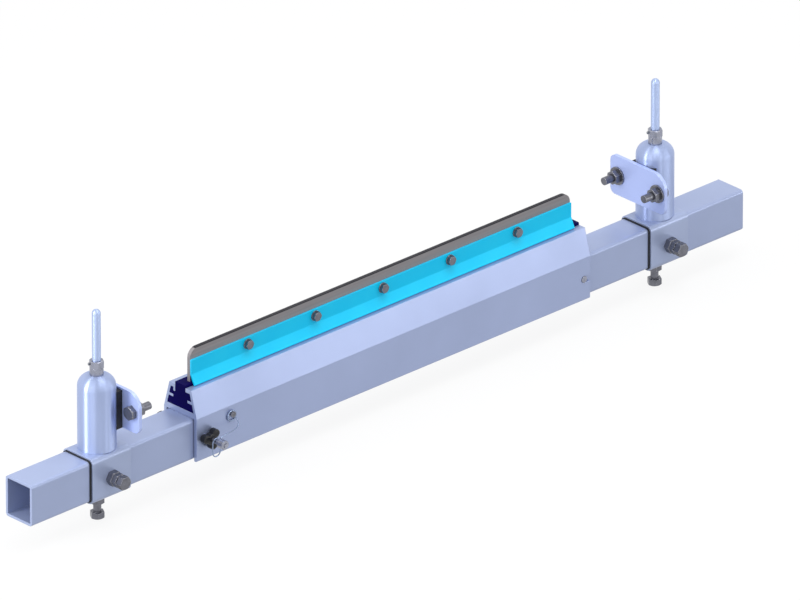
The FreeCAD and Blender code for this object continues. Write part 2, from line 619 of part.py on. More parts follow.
def lanyard():
    """Thin wire whose centre line is straight runs joined by tangent arcs."""
    spots = [FreeCAD.Vector(*point) for point in LANYARD_ROUTE]
    edges = []
    start = spots[0]
    for before, corner, after in zip(spots, spots[1:], spots[2:]):
        into = (corner - before).normalize()
        out = (after - corner).normalize()
        half_turn = into.getAngle(out) / 2
        cut = 0.45 * min((corner - before).Length, (after - corner).Length)
        radius = cut / tan(half_turn)
        print(f"lanyard bend radius {radius:.1f} mm")
        arc_start = corner - into * cut
        arc_end = corner + out * cut
        inward = (out - into).normalize()
        middle = corner + inward * (radius / cos(half_turn) - radius)
        edges.append(Part.LineSegment(start, arc_start).toShape())
        edges.append(Part.Arc(arc_start, middle, arc_end).toShape())
        start = arc_end
    edges.append(Part.LineSegment(start, spots[-1]).toShape())
    radius = value("dims.wire_diameter") / 2
    section = Part.Wire(Part.makeCircle(radius, spots[0], spots[1] - spots[0]))
    wire = doc.addObject("Part::Feature", "lanyard_wire")
    wire.Shape = Part.Wire(edges).makePipeShell([section], True, True)
    length = sum(edge.Length for edge in edges)
    print(f"lanyard length {length:.1f} mm, volume {wire.Shape.Volume:.1f} mm3,"
          f" section times length {pi * radius ** 2 * length:.1f} mm3")
    named(wire, "lanyard")


def clamp_collar(side, centre):
    """Collar with its liner, welded boss nuts, lock nuts and jam bolts."""
    collar = rectangular_sleeve(
        f"{side}_collar", COLLAR_FACE, COLLAR_TOP, "dims.collar_wall",
        "dims.beam_corner + dims.liner_gap + dims.liner_wall + dims.collar_wall", "dims.collar_length")
    liner = rectangular_sleeve(
        f"{side}_collar_liner", COLLAR_BORE_DEPTH, COLLAR_BORE_HEIGHT, "dims.liner_wall",
        "dims.beam_corner + dims.liner_gap + dims.liner_wall", "dims.collar_length + dims.liner_lip")
    lip_shift = "dims.liner_lip / 2"
    for body, shift in ((collar, ON_AXIS), (liner, lip_shift)):
        cross_holes(body, f"{body.Name}_side_holes", [(shift, "-dims.side_jam_drop", JAM_HOLE)])
        low = new_sketch(body, f"{body.Name}_low_circle", "XY_Plane")
        circle(low, shift, ON_AXIS, JAM_HOLE)
        grow(body, "Pocket", f"{body.Name}_low_hole", low, THROUGH, symmetric=False)
    named(place(collar, x=centre), f"{side}_collar")
    named(place(liner, x=f"{centre} - {lip_shift}"), f"{side}_collar_liner")

    # Each jam bolt: its name, the collar's face, the beam's face, the reach to its head and its place.
    jams = [
        ("front", COLLAR_FACE, "dims.beam_depth / 2", "dims.side_jam_reach", TO_FRONT),
        ("back", COLLAR_FACE, "dims.beam_depth / 2", "dims.side_jam_reach", TO_BACK),
        ("low", COLLAR_TOP, "dims.beam_height / 2", "dims.low_jam_reach", DOWNWARD),
    ]
    bosses, lock_nuts, bolts = [], [], []
    for name, face, beam_face, reach, turn in jams:
        def put(thing, distance):
            y = {"front": f"-({distance})", "back": distance, "low": ON_AXIS}[name]
            z = f"-({distance})" if name == "low" else "-dims.side_jam_drop"
            return place(thing, centre, y, z, turn)

        boss = nut(f"{side}_{name}_boss", "dims.boss_flats", "dims.boss_height", "dims.jam_diameter")
        lock = nut(f"{side}_{name}_lock_nut", "dims.lock_nut_flats", "dims.lock_nut_height",
                   "dims.jam_diameter")
        head_face = f"({face} + {reach} - dims.jam_head_height)"
        bolt = hex_bolt(f"{side}_{name}_jam_bolt", "dims.jam_head_flats", "dims.jam_head_height",
                        "dims.jam_diameter", f"{head_face} - {beam_face} - dims.jam_tip_gap")
        bosses.append(put(boss, face))
        lock_nuts.append(put(lock, f"{face} + dims.boss_height"))
        bolts.append(put(bolt, head_face))
    group(f"{side}_boss_nuts", bosses)
    group(f"{side}_lock_nuts", lock_nuts)
    group(f"{side}_jam_bolts", bolts)


def tension_rod(side, centre):
    """Rod welded to the collar by its foot, with the spring seat and nut near its top."""
    radius = "dims.rod_diameter / 2"
    foot = "dims.foot_diameter / 2"
    tip = f"{HOUSING_TOP} + dims.rod_rise"
    rod = revolved(f"{side}_tension_rod", [
        (ON_AXIS, COLLAR_TOP), (foot, COLLAR_TOP), (foot, f"{COLLAR_TOP} + dims.foot_height"),
        (radius, f"{COLLAR_TOP} + dims.foot_height"), (radius, tip), (ON_AXIS, tip)])
    round_edges(rod, f"{side}_rod_tip", f"{radius} * 0.95",
                lambda edge: abs(edge.BoundBox.ZMin - value(tip)) < 1e-4 and edge.BoundBox.XMax > 1)
    named(place(rod, x=centre), f"{side}_tension_rod")

    seat_under = f"({HOUSING_TOP} - dims.seat_drop - dims.seat_height)"
    seat = tube(f"{side}_seat_disc", "dims.seat_diameter", "dims.rod_diameter + 2 * dims.fit_gap",
                "dims.seat_height")
    named(place(seat, x=centre, z=seat_under), f"{side}_spring_seat")
    one = nut(f"{side}_spring_nut_piece", "dims.spring_nut_flats", "dims.spring_nut_height",
              "dims.rod_diameter")
    named(place(one, x=centre, z=f"{seat_under} + dims.seat_height"), f"{side}_spring_nut")

    coil = new_body(f"{side}_spring")
    wire = new_sketch(coil, f"{side}_spring_wire", "XZ_Plane")
    outer = "dims.spring_diameter / 2"
    floor = f"({COLLAR_TOP} + dims.plug_height)"
    outline(wire, [(f"{outer} - dims.spring_wire_width", floor), (outer, floor),
                   (outer, f"{floor} + dims.spring_wire_height"),
                   (f"{outer} - dims.spring_wire_width", f"{floor} + dims.spring_wire_height")])
    helix = coil.newObject("PartDesign::AdditiveHelix", f"{side}_spring_coil")
    helix.Profile = wire
    helix.ReferenceAxis = (wire, ["V_Axis"])
    helix.Mode = "height-turns-angle"
    helix.setExpression("Height", f"{seat_under} - {floor} - dims.spring_wire_height")
    helix.setExpression("Turns", "dims.spring_turns")
    doc.recompute()
    named(place(coil, x=centre), f"{side}_spring")


def housing(side, centre):
    """Domed housing with its end plug and the gland that guides the rod."""
    outer = "dims.housing_diameter / 2"
    inner = f"({outer} - dims.housing_wall)"
    neck = "dims.gland_thread_diameter / 2 + dims.fit_gap"
    ceiling = f"({HOUSING_TOP} - dims.housing_wall)"
    shell = revolved(f"{side}_housing", [
        (inner, COLLAR_TOP), (outer, COLLAR_TOP), (outer, HOUSING_TOP), (neck, HOUSING_TOP),
        (neck, ceiling), (inner, ceiling)])

    def is_rim(edge, radius, level):
        box = edge.BoundBox
        return abs(box.ZMin - level) < 1e-4 and abs(box.ZMax - level) < 1e-4 and abs(box.XMax - radius) < 1e-3

    round_edges(shell, f"{side}_housing_dome", "dims.housing_dome",
                lambda edge: is_rim(edge, value(outer), value(HOUSING_TOP)))
    round_edges(shell, f"{side}_housing_vault", "dims.housing_dome - dims.housing_wall",
                lambda edge: is_rim(edge, value(inner), value(ceiling)))
    named(place(shell, x=centre), f"{side}_housing")

    recess = "dims.foot_diameter / 2 + dims.plug_recess_gap"
    recess_top = f"{COLLAR_TOP} + dims.foot_height + dims.plug_recess_gap"
    rod_hole = "dims.rod_diameter / 2 + dims.running_gap"
    plug_top = f"{COLLAR_TOP} + dims.plug_height"
    plug_rim = f"{inner} - dims.fit_gap"
    plug = revolved(f"{side}_end_plug", [
        (recess, COLLAR_TOP), (plug_rim, COLLAR_TOP), (plug_rim, plug_top), (rod_hole, plug_top),
        (rod_hole, recess_top), (recess, recess_top)])
    named(place(plug, x=centre), f"{side}_end_plug")

    thread = "dims.gland_thread_diameter / 2"
    shoulder = "dims.gland_neck_diameter / 2"
    neck_top = f"{HOUSING_TOP} + dims.gland_neck_height"
    gland = revolved(f"{side}_gland", [
        (rod_hole, ceiling), (thread, ceiling), (thread, HOUSING_TOP), (shoulder, HOUSING_TOP),
        (shoulder, neck_top), (rod_hole, neck_top)])
    named(place(gland, x=centre), f"{side}_gland")

    cap = doc.addObject("Part::Cut", f"{side}_gland_nut_piece")
    cap.Base = hexagon(f"{side}_gland_cap", "dims.gland_nut_flats", "dims.gland_nut_height")
    bore = cylinder(f"{side}_gland_cap_bore", ROD_HOLE, "dims.gland_nut_height")
    screw_level = "dims.gland_nut_height / 2"
    tap = cylinder(f"{side}_gland_cap_tap", "dims.gland_screw_diameter + 2 * dims.fit_gap",
                   "dims.gland_nut_flats")
    tap.Placement.Rotation = GLAND_SCREW_TURN
    place(tap, z=screw_level)
    holes = doc.addObject("Part::MultiFuse", f"{side}_gland_cap_holes")
    holes.Shapes = [bore, tap]
    cap.Tool = holes
    named(place(cap, x=centre, z=neck_top), f"{side}_gland_nut")

    screw = cylinder(f"{side}_gland_screw_piece", "dims.gland_screw_diameter", "dims.gland_screw_length")
    start = f"({rod_hole} + dims.fit_gap)"
    place(screw, f"{centre} + cos({GLAND_SCREW_ANGLE}) * {start}", f"sin({GLAND_SCREW_ANGLE}) * {start}",
          f"{neck_top} + {screw_level}", GLAND_SCREW_TURN)
    named(screw, f"{side}_gland_screw")


# The gland's set screw stands square on one of the nut's flats, to the left and back.
GLAND_SCREW_ANGLE = 150
GLAND_SCREW_TURN = FreeCAD.Rotation(FreeCAD.Vector(0, 0, 1), GLAND_SCREW_ANGLE) * TO_RIGHT


def mounting_plate(side, centre, inboard):
    """Plate that bolts to the conveyor's frame, on the inboard side of the housing."""
    def from_axis(distance):
        return f"{centre} + {inboard} * ({distance})"

    half_width = "dims.plate_width / 2"
    low = f"{COLLAR_TOP} + dims.plate_lift"
    high = f"{COLLAR_TOP} + dims.plate_lift + dims.plate_height"
    level = f"{low} + dims.plate_bolt_lift"
    hole = "dims.plate_bolt_diameter + 2 * dims.plate_hole_gap"
    bolt_ys = ["dims.plate_bolt_spacing / 2", "-dims.plate_bolt_spacing / 2"]

    plate = new_body(f"{side}_mounting_plate")
    face = new_sketch(plate, f"{side}_plate_face", "YZ_Plane")
    outline(face, [(f"-{half_width}", low), (half_width, low), (half_width, high), (f"-{half_width}", high)])
    for across in bolt_ys:
        circle(face, across, level, hole)
    grow(plate, "Pad", f"{side}_plate_sheet", face, "dims.plate_thickness")
    reach, bottom, top = value(half_width), value(low), value(high)
    round_edges(plate, f"{side}_plate_shoulder", "dims.plate_shoulder",
                lambda edge: runs_along(edge, 0) and at_place(edge, 0, [(-reach, top)]))
    round_edges(plate, f"{side}_plate_corners", "dims.plate_corner",
                lambda edge: runs_along(edge, 0)
                and at_place(edge, 0, [(reach, top), (reach, bottom), (-reach, bottom)]))
    place(plate, x=from_axis("dims.plate_standoff + dims.plate_thickness / 2"))
    named(plate, f"{side}_mounting_plate")

    block = bind(doc.addObject("Part::Box", f"{side}_pad_block"), Length="dims.pad_depth",
                 Width="dims.pad_width", Height="dims.plate_height - dims.pad_drop")
    near = from_axis("dims.plate_standoff - dims.pad_depth / 2")
    place(block, f"{near} - dims.pad_depth / 2", "-dims.pad_width / 2", low)
    seat = cylinder(f"{side}_pad_seat", "dims.housing_diameter + 2 * dims.fit_gap", "dims.housing_height")
    place(seat, x=centre, z=COLLAR_TOP)
    pad = doc.addObject("Part::Cut", f"{side}_saddle_pad_piece")
    pad.Base = block
    pad.Tool = seat
    named(pad, f"{side}_saddle_pad")

    outward, inward = (TO_LEFT, TO_RIGHT) if inboard > 0 else (TO_RIGHT, TO_LEFT)
    far_face = "dims.plate_standoff + dims.plate_thickness"
    bolts, washers, nuts = [], [], []
    for number, across in enumerate(bolt_ys, start=1):
        bolt = hex_bolt(f"{side}_plate_bolt_{number}", "dims.plate_head_flats", "dims.plate_head_height",
                        "dims.plate_bolt_diameter", "dims.plate_bolt_length")
        bolts.append(place(bolt, from_axis("dims.plate_standoff"), across, level, outward))
        washer = tube(f"{side}_plate_washer_{number}", "dims.plate_washer_diameter", hole,
                      "dims.plate_washer_thickness")
        washers.append(place(washer, from_axis(far_face), across, level, inward))
        one = nut(f"{side}_plate_nut_{number}", "dims.plate_nut_flats", "dims.plate_nut_height",
                  "dims.plate_bolt_diameter", "dims.plate_thread_gap")
        nuts.append(place(one, from_axis(f"{far_face} + dims.plate_washer_thickness"), across, level, inward))
    group(f"{side}_plate_bolts", bolts)
    group(f"{side}_plate_washers", washers)
    group(f"{side}_plate_nuts", nuts)


def export():
    """Stops on any object that failed, then writes each sub-part to its own file."""
    doc.recompute()
    for thing in doc.Objects:
        if "Invalid" in thing.State or "Error" in thing.State:
            raise RuntimeError(f"{thing.Name} failed: {thing.State}")
    os.makedirs("parts", exist_ok=True)
    for node in nodes:
        if node.Shape.isNull() or not node.Shape.isValid():
            raise RuntimeError(f"{node.Label} has no valid shape")
        if not node.Shape.Solids:
            raise RuntimeError(f"{node.Label} has no solid")
    for node in nodes:
        node.Shape.exportStep(f"parts/{node.Label}.step")
        box = node.Shape.BoundBox
        print(f"{node.Label}: {len(node.Shape.Solids)} solids, {node.Shape.Volume:.0f} mm3,"
              f" x {box.XMin:.1f} {box.XMax:.1f} y {box.YMin:.1f} {box.YMax:.1f}"
              f" z {box.ZMin:.1f} {box.ZMax:.1f}")


beam()
cover()
core()
blade()
blade_screws()
locking_pin()
pin_handle()
lanyard_ends()
lanyard()
for side, sign in (("left", -1), ("right", 1)):
    middle = f"({sign} * dims.tensioner_spacing / 2)"
    clamp_collar(side, middle)
    tension_rod(side, middle)
    housing(side, middle)
    mounting_plate(side, middle, -sign)
export()
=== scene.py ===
import bmesh
import bpy
from math import cos, pi, radians, sin
from mathutils import Matrix, Vector


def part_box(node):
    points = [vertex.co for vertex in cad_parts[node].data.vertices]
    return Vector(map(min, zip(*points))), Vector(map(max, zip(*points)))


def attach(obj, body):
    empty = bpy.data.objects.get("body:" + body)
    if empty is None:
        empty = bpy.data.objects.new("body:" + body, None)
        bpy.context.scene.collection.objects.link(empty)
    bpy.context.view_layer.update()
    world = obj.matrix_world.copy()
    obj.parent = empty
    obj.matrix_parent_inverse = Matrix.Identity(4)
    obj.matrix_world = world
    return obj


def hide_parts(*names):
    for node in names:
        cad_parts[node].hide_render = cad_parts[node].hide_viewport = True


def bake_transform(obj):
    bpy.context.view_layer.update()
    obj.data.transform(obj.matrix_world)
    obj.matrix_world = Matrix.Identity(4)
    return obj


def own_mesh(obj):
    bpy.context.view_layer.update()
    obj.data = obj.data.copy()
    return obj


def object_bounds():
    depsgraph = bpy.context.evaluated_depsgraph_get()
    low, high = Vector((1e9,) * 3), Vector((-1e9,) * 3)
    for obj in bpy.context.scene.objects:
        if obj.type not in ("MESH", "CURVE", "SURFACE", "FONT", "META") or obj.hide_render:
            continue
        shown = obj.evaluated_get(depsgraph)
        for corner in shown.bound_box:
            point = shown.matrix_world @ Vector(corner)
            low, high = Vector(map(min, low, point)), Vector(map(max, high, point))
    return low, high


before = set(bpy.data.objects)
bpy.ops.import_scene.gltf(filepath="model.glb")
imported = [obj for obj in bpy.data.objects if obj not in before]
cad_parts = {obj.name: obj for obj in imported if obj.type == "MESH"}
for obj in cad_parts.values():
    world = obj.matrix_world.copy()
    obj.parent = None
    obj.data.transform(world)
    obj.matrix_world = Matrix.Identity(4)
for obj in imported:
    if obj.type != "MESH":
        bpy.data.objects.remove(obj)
cad_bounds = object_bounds()

# Conveyor belt scraper, dressed on its CAD frame. X runs along the beam, Z points up at the belt, and
# lengths are metres. The finishes follow the photograph: lavender grey metal, a navy elastomer core, a
# bright blue backing plate and a grey blade.

MM = 0.001
SIDES = ("left", "right")


# Materials

BEVEL_SAMPLES = 6
FINE_RELIEF = 0.012 * MM
MOULDED_RELIEF = 0.02 * MM
SCUFF_RELIEF = 0.03 * MM
# Near white colour of the painted highlight along the edges of fasteners.
EDGE_HIGHLIGHT_COLOUR = (226, 226, 232)

# The sockets of a colour mix node, which share their names with those of its other types.
MIX_SHARE, MIX_FIRST, MIX_SECOND, MIX_RESULT = 0, 6, 7, 2


def linear(colour):
    """A colour of the photograph, 0 to 255 a channel, as linear light."""
    return tuple(((c / 255 + 0.055) / 1.055) ** 2.4 if c > 10.3 else c / 255 / 12.92 for c in colour)


def scaled(colour, factor, lift=0):
    """The colour times a factor, with the same lift for each channel, at most 255."""
    return tuple(min(255, c * factor + lift) for c in colour)


class Finish:
    """A node material with small helpers, all in the object's own coordinates."""

    def __init__(self, name, colour, metallic, roughness):
        self.material = bpy.data.materials.new(name)
        self.material.use_nodes = True
        self.tree = self.material.node_tree
        self.shader = self.tree.nodes["Principled BSDF"]
        self.set("Base Color", (*linear(colour), 1))
        self.set("Metallic", metallic)
        self.set("Roughness", roughness)
        self.place = self.node("ShaderNodeTexCoord").outputs["Object"]
        self.height = None

    def node(self, kind, **settings):
        made = self.tree.nodes.new(kind)
        for name, setting in settings.items():
            setattr(made, name, setting)
        return made

    def link(self, source, target):
        self.tree.links.new(source, target)

    def set(self, name, value):
        self.shader.inputs[name].default_value = value

    def stretched(self, stretch):
        """The object's coordinates with each axis scaled, for grain that runs along one of them."""
        mapping = self.node("ShaderNodeMapping")
        mapping.inputs["Scale"].default_value = stretch
        self.link(self.place, mapping.inputs["Vector"])
        return mapping.outputs["Vector"]

    def noise(self, scale, stretch=(1, 1, 1), detail=3):
        """A cloudy factor, finer with a larger scale."""
        texture = self.node("ShaderNodeTexNoise")
        texture.inputs["Scale"].default_value = scale
        texture.inputs["Detail"].default_value = detail
        self.link(self.stretched(stretch), texture.inputs["Vector"])
        return texture.outputs["Fac"]

    def ramp(self, factor, low, high, start=0.3, end=0.7):
        """Maps a factor between two grey levels."""
        node = self.node("ShaderNodeMapRange")
        node.inputs["From Min"].default_value = start
        node.inputs["From Max"].default_value = end
        node.inputs["To Min"].default_value = low
        node.inputs["To Max"].default_value = high
        self.link(factor, node.inputs["Value"])
        return node.outputs["Result"]

    def shade(self, factor, colour, strength):
        """Mixes a second colour over the base where the factor is high."""
        mix = self.node("ShaderNodeMix", data_type="RGBA")
        target = self.shader.inputs["Base Color"]
        if target.links:
            self.link(target.links[0].from_socket, mix.inputs[MIX_FIRST])
        else:
            mix.inputs[MIX_FIRST].default_value = target.default_value
        mix.inputs[MIX_SECOND].default_value = (*linear(colour), 1)
        self.link(self.ramp(factor, 0, strength), mix.inputs[MIX_SHARE])
        self.link(mix.outputs[MIX_RESULT], target)

    def vary_roughness(self, factor, low, high):
        """Lets the roughness follow a factor between two values."""
        self.link(self.ramp(factor, low, high), self.shader.inputs["Roughness"])

    def relief(self, factor, depth):
        """Takes a factor, times a depth in metres, as the surface's height."""
        height = self.node("ShaderNodeMath", operation="MULTIPLY")
        self.link(factor, height.inputs[0])
        height.inputs[1].default_value = depth
        self.height = height.outputs[0]

    def bevel(self, radius):
        """The surface's normal with edges rounded by a radius."""
        bevel = self.node("ShaderNodeBevel", samples=BEVEL_SAMPLES)
        bevel.inputs["Radius"].default_value = radius
        return bevel.outputs["Normal"]

    def painted_edge_highlight(self, colour, radius, strength):
        """Lightens the outer edges: a painted highlight along the rounded edges."""
        dot = self.node("ShaderNodeVectorMath", operation="DOT_PRODUCT")
        self.link(self.bevel(radius), dot.inputs[0])
        self.link(self.node("ShaderNodeNewGeometry").outputs["Normal"], dot.inputs[1])
        self.shade(self.ramp(dot.outputs["Value"], 1, 0, 0.75, 0.99), colour, strength)

    def done(self, edge):
        """Joins the relief and the softly rounded edges to the shader."""
        normal = self.bevel(edge)
        if self.height is not None:
            bump = self.node("ShaderNodeBump")
            bump.inputs["Strength"].default_value = 1.0
            bump.inputs["Distance"].default_value = 1.0
            self.link(self.height, bump.inputs["Height"])
            self.link(normal, bump.inputs["Normal"])
            normal = bump.outputs["Normal"]
        self.link(normal, self.shader.inputs["Normal"])
        return self.material


def painted_steel(name, colour, roughness, grain_axis=(1, 1, 1), metallic=0.3):
    """Satin metal with faint cloudy staining and a fine grain along one axis."""
    finish = Finish(name, colour, metallic, roughness)
    clouds = finish.noise(9)
    grain = finish.noise(900, grain_axis, detail=2)
    finish.shade(clouds, scaled(colour, 0.93), 0.5)
    finish.vary_roughness(clouds, roughness - 0.04, roughness + 0.06)
    finish.relief(grain, FINE_RELIEF)
    # A painted highlight along the edges, in a paler tint of the paint.
    finish.painted_edge_highlight(scaled(colour, 1.14), 0.9 * MM, 0.7)
    return finish.done(edge=0.8 * MM)


def fastener(name, colour, roughness=0.32):
    """Plated steel with small darker stains."""
    finish = Finish(name, colour, 0.9, roughness)
    clouds = finish.noise(140)
    finish.shade(clouds, scaled(colour, 0.75), 0.6)
    finish.vary_roughness(clouds, roughness - 0.06, roughness + 0.1)
    # A painted highlight, near white, along the edges.
    finish.painted_edge_highlight(EDGE_HIGHLIGHT_COLOUR, 0.7 * MM, 0.7)
    return finish.done(edge=0.5 * MM)


def turned(name, colour, roughness, anisotropy):
    """Bright metal turned about an upright axis, so that its highlights stretch along the axis."""
    finish = Finish(name, colour, 0.7, roughness)
    clouds = finish.noise(30, (1, 1, 0.3))
    finish.shade(clouds, scaled(colour, 0.95), 0.6)
    finish.vary_roughness(clouds, roughness - 0.03, roughness + 0.04)
    finish.set("Anisotropic", anisotropy)
    around = finish.node("ShaderNodeTangent", direction_type="RADIAL", axis="Z")
    finish.link(around.outputs["Tangent"], finish.shader.inputs["Tangent"])
    finish.set("Anisotropic Rotation", 0.25)
    return finish.done(edge=0.6 * MM)


def moulded(name, colour, roughness, grain=900, gloss=0.4):
    """Rubber or plastic with a fine moulded grain."""
    finish = Finish(name, colour, 0, roughness)
    clouds = finish.noise(30, detail=4)
    finish.shade(clouds, scaled(colour, 1.25, lift=6), 0.5)
    finish.vary_roughness(clouds, roughness - 0.05, roughness + 0.1)
    finish.relief(finish.noise(grain), MOULDED_RELIEF)
    finish.set("Specular IOR Level", gloss)
    return finish.done(edge=0.6 * MM)


def blade_grey():
    """Grey blade with fine scuffs along its length and a dark band along the top edge."""
    finish = Finish("blade grey", (150, 146, 148), 0, 0.5)
    finish.set("Specular IOR Level", 0.2)
    scuffs = finish.noise(260, (0.03, 1, 1), detail=5)
    finish.shade(scuffs, (132, 128, 131), 0.6)
    finish.vary_roughness(scuffs, 0.34, 0.52)
    finish.relief(scuffs, SCUFF_RELIEF)
    # The dark band follows the height: darker in the top 1.6 mm of the blade.
    level = finish.node("ShaderNodeSeparateXYZ")
    finish.link(finish.place, level.inputs[0])
    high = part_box("scraper_blade")[1][2]
    band = finish.ramp(level.outputs["Z"], 0, 1, high - 1.6 * MM, high - 0.4 * MM)
    finish.shade(band, (34, 32, 40), 1.0)
    return finish.done(edge=0.4 * MM)


def backing_blue():
    """Bright sky blue coat."""
    finish = Finish("backing blue", (0, 212, 255), 0, 0.42)
    finish.set("Specular IOR Level", 0.25)
    clouds = finish.noise(24)
    finish.shade(clouds, (0, 202, 252), 0.5)
    finish.vary_roughness(clouds, 0.3, 0.42)
    finish.relief(finish.noise(1400, detail=2), FINE_RELIEF)
    # A painted highlight along the edges, in a paler blue.
    finish.painted_edge_highlight((120, 226, 255), 0.8 * MM, 0.5)
    return finish.done(edge=0.6 * MM)


BEAM = painted_steel("beam steel", (165, 178, 213), 0.36, (0.04, 1, 1))
COVER = painted_steel("cover aluminium", (164, 177, 213), 0.32, (0.02, 1, 1), metallic=0.5)
CLAMP = painted_steel("clamp steel", (168, 181, 214), 0.36)
HOUSING = turned("housing steel", (174, 189, 228), 0.42, 0.95)
PLATE = painted_steel("plate steel", (188, 204, 255), 0.42)
ZINC = fastener("zinc steel", (120, 121, 130), 0.3)
ROD = turned("rod steel", (182, 199, 236), 0.4, 0.9)
PIN = fastener("pin steel", (160, 163, 178), 0.26)
SPRING = fastener("spring steel", (120, 124, 132))
WIRE = fastener("wire steel", (150, 166, 196), 0.25)
NAVY = moulded("navy elastomer", (6, 0, 70), 0.65, gloss=0.05)
BLACK_RUBBER = moulded("black rubber", (20, 20, 26), 0.55)
BLACK_PLASTIC = moulded("black plastic", (16, 16, 20), 0.35, grain=500)

FINISHES = {
    "beam_tube": BEAM, "hook_pin": PIN, "blade_cover": COVER, "elastomer_core": NAVY,
    "scraper_blade": blade_grey(), "backing_plate": backing_blue(),
    "blade_screws": ZINC, "blade_washers": ZINC, "blade_nuts": ZINC,
    "locking_pin": PIN, "locking_pin_nose": BLACK_PLASTIC, "locking_pin_handle": BLACK_PLASTIC,
    "lanyard_stud": ZINC, "lanyard_ring": WIRE, "lanyard_link": WIRE,
}
SIDE_FINISHES = {
    # Collar liners in black rubber: their dark band at the collars' ends is partly the liner and partly
    # a painted shade.
    "collar": CLAMP, "collar_liner": BLACK_RUBBER, "boss_nuts": ZINC, "lock_nuts": ZINC,
    "jam_bolts": ZINC, "tension_rod": ROD, "spring_seat": ZINC, "spring_nut": ZINC,
    "housing": HOUSING, "end_plug": CLAMP, "gland": PIN, "gland_nut": PIN,
    "gland_screw": SPRING, "mounting_plate": PLATE, "saddle_pad": BLACK_RUBBER,
    "plate_bolts": ZINC, "plate_washers": ZINC, "plate_nuts": ZINC,
}


def dress(node, material):
    """Gives a CAD node its finish in every slot."""
    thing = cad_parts[node]
    if not thing.material_slots:
        thing.data.materials.append(material)
    for slot in thing.material_slots:
        slot.link = "OBJECT"
        slot.material = material


for node, material in FINISHES.items():
    dress(node, material)
for side in SIDES:
    for node, material in SIDE_FINISHES.items():
        dress(f"{side}_{node}", material)


# Pieces

def piece(name, builder, material, smooth=True):
    """A mesh object made by a bmesh builder."""
    data = bpy.data.meshes.new(name)
    mesh = bmesh.new()
    builder(mesh)
    bmesh.ops.recalc_face_normals(mesh, faces=mesh.faces)
    mesh.to_mesh(data)
    mesh.free()
    for polygon in data.polygons:
        polygon.use_smooth = smooth
    made = bpy.data.objects.new(name, data)
    bpy.context.scene.collection.objects.link(made)
    data.materials.append(material)
    return made


def skin(mesh, rings):
    """A closed surface over rings of vertices, from the first ring to the last."""
    for ring, following in zip(rings, rings[1:]):
        for corner in range(len(ring)):
            nxt = (corner + 1) % len(ring)
            mesh.faces.new((ring[corner], ring[nxt], following[nxt], following[corner]))
    mesh.faces.new(rings[0][::-1])
    mesh.faces.new(rings[-1])


def sweep(mesh, points, radius, corners):
    """A round tube along points, its rings turned without twist."""
    rings = []
    side = None
    for number, point in enumerate(points):
        before = points[max(number - 1, 0)]
        after = points[min(number + 1, len(points) - 1)]
        along = (after - before).normalized()
        if side is None:
            side = along.orthogonal().normalized()
        side = (side - along * side.dot(along)).normalized()
        other = along.cross(side)
        rings.append([mesh.verts.new(point + (side * cos(a) + other * sin(a)) * radius)
                      for a in (2 * pi * step / corners for step in range(corners))])
    skin(mesh, rings)


def spline_points(name, route, steps):
    """Points along the NURBS curve that has the route as its control points."""
    curve = bpy.data.curves.new(name, "CURVE")
    curve.dimensions = "3D"
    spline = curve.splines.new("NURBS")
    spline.points.add(len(route) - 1)
    for point, place in zip(spline.points, route):
        point.co = (*place, 1)
    spline.order_u = 3
    spline.use_endpoint_u = True
    spline.resolution_u = steps
    holder = bpy.data.objects.new(name, curve)
    bpy.context.scene.collection.objects.link(holder)
    mesh = bpy.data.meshes.new_from_object(holder)
    points = [vertex.co.copy() for vertex in mesh.vertices]
    bpy.data.objects.remove(holder)
    bpy.data.curves.remove(curve)
    bpy.data.meshes.remove(mesh)
    return points


# Lanyard: the same route as its CAD solid, in metres.
LANYARD_ROUTE = [
    (-0.3185, -0.0373, 0.0132), (-0.3175, -0.041, 0.0066), (-0.3235, -0.0453, 0.0026),
    (-0.335, -0.0491, 0.0021), (-0.347, -0.0525, 0.0038), (-0.3575, -0.0547, 0.0049),
    (-0.3678, -0.055, 0.00265),
]
WIRE_DIAMETER = 0.0016
WIRE_CORNERS = 12
ROUTE_STEPS = 12

lanyard_path = spline_points("lanyard_route", LANYARD_ROUTE, ROUTE_STEPS)
lanyard = piece("lanyard_wire",
                lambda mesh: sweep(mesh, lanyard_path, WIRE_DIAMETER / 2, WIRE_CORNERS), WIRE)
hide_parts("lanyard")
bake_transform(lanyard)


# Springs: one flat coil for each tensioner, carried with its clamp's body.
COIL_RADIUS = 19 * MM
COIL_TURNS = 5
COIL_STEPS = COIL_TURNS * 32
COIL_WIRE = (6 * MM, 5 * MM)
RECTANGLE = ((-1, -1), (1, -1), (1, 1), (-1, 1))


def coil(side):
    """The flat wire of one spring, between its end plug below and its seat above."""
    low, high = (Vector(corner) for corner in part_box(f"{side}_spring"))
    seat = [Vector(corner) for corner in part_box(f"{side}_spring_seat")]
    middle = (seat[0] + seat[1]) / 2
    width, height = COIL_WIRE

    def build(mesh):
        rings = []
        for step in range(COIL_STEPS + 1):
            share = step / COIL_STEPS
            angle = 2 * pi * COIL_TURNS * share
            out = Vector((cos(angle), sin(angle), 0))
            level = low.z + height / 2 + (high.z - low.z - height) * share
            centre = Vector((middle.x, middle.y, level)) + out * COIL_RADIUS
            rings.append([mesh.verts.new(centre + out * (a * width / 2) + Vector((0, 0, b * height / 2)))
                          for a, b in RECTANGLE])
        skin(mesh, rings)

    made = piece(f"{side}_spring_coil", build, SPRING, smooth=False)
    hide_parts(f"{side}_spring")
    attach(made, f"{side}_clamp")
    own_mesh(made)


for side in SIDES:
    coil(side)


# Camera: almost without perspective, as in the photograph. The origin is seen at ORIGIN_PIXEL.
AZIMUTH = radians(-43.6)
ELEVATION = radians(25.9)
PIXELS_PER_METRE = 687.0
DISTANCE = 40.0
PICTURE_WIDTH = 800
PICTURE_MIDDLE = (400, 300)
ORIGIN_PIXEL = (378.3, 351.0)

